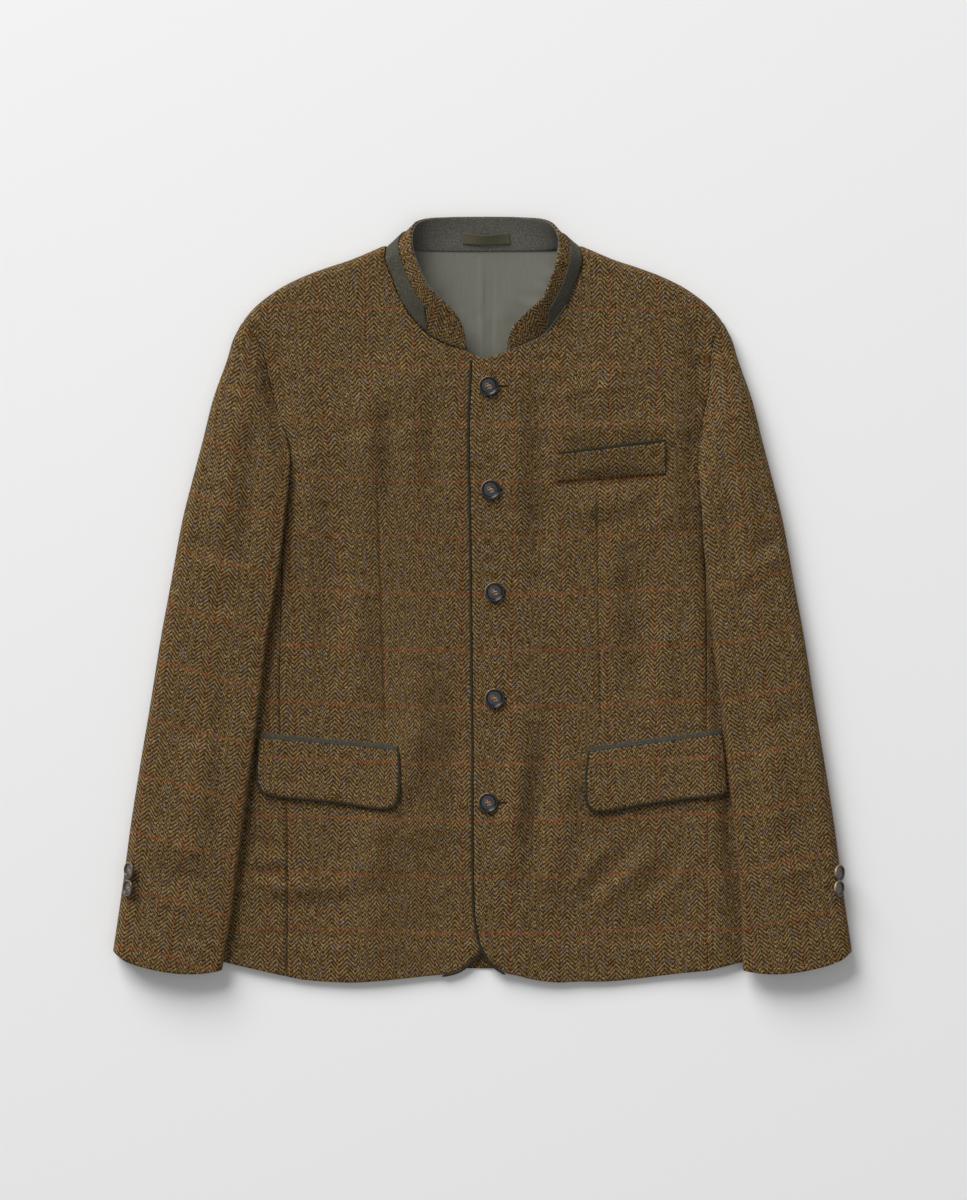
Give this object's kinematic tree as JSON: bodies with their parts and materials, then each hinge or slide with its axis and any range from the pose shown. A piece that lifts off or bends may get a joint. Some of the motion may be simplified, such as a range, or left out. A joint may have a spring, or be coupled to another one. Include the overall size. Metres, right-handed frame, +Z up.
{
  "type": "tyrolean jacket",
  "caption": "Buttoned tweed jacket with a stand collar, felt trims, flap pockets and a slanting chest welt, laid flat on its back with the sleeves beside the body.",
  "frame": {"origin": "middle of the jacket's plan, on the surface that it lies on", "axes": "+X towards the wearer's left, +Y from the hem towards the collar, +Z up from the surface"},
  "size_m": [0.737, 0.7629, 0.0378],
  "materials": {
    "tweed": "brushed herringbone wool tweed with a broken windowpane check",
    "felt": "milled grey-green wool felt",
    "lining": "woven satin lining, soft sheen",
    "loop": "flat woven tape",
    "horn": "turned and polished dark horn",
    "cuff_horn": "turned and polished mottled horn"
  },
  "bodies": {
    "root": {"back": "tweed", "back_lining": "lining", "button_front_1": "horn", "button_front_2": "horn", "button_front_3": "horn", "button_front_4": "horn", "button_front_5": "horn", "chest_welt": "tweed", "collar": "tweed", "collar_facing": "felt", "collar_felt": "felt", "cuff_buttons_left": "cuff_horn", "cuff_buttons_right": "cuff_horn", "flap_left": "tweed", "flap_piping_left": "felt", "flap_piping_right": "felt", "flap_right": "tweed", "front_left": "tweed", "front_piping_left": "felt", "front_piping_right": "felt", "front_right": "tweed", "hanger_loop": "loop", "jetting_left": "felt", "jetting_right": "felt", "side_left": "tweed", "side_right": "tweed", "sleeve_left_top": "tweed", "sleeve_left_under": "tweed", "sleeve_right_top": "tweed", "sleeve_right_under": "tweed"}
  },
  "joints": []
}
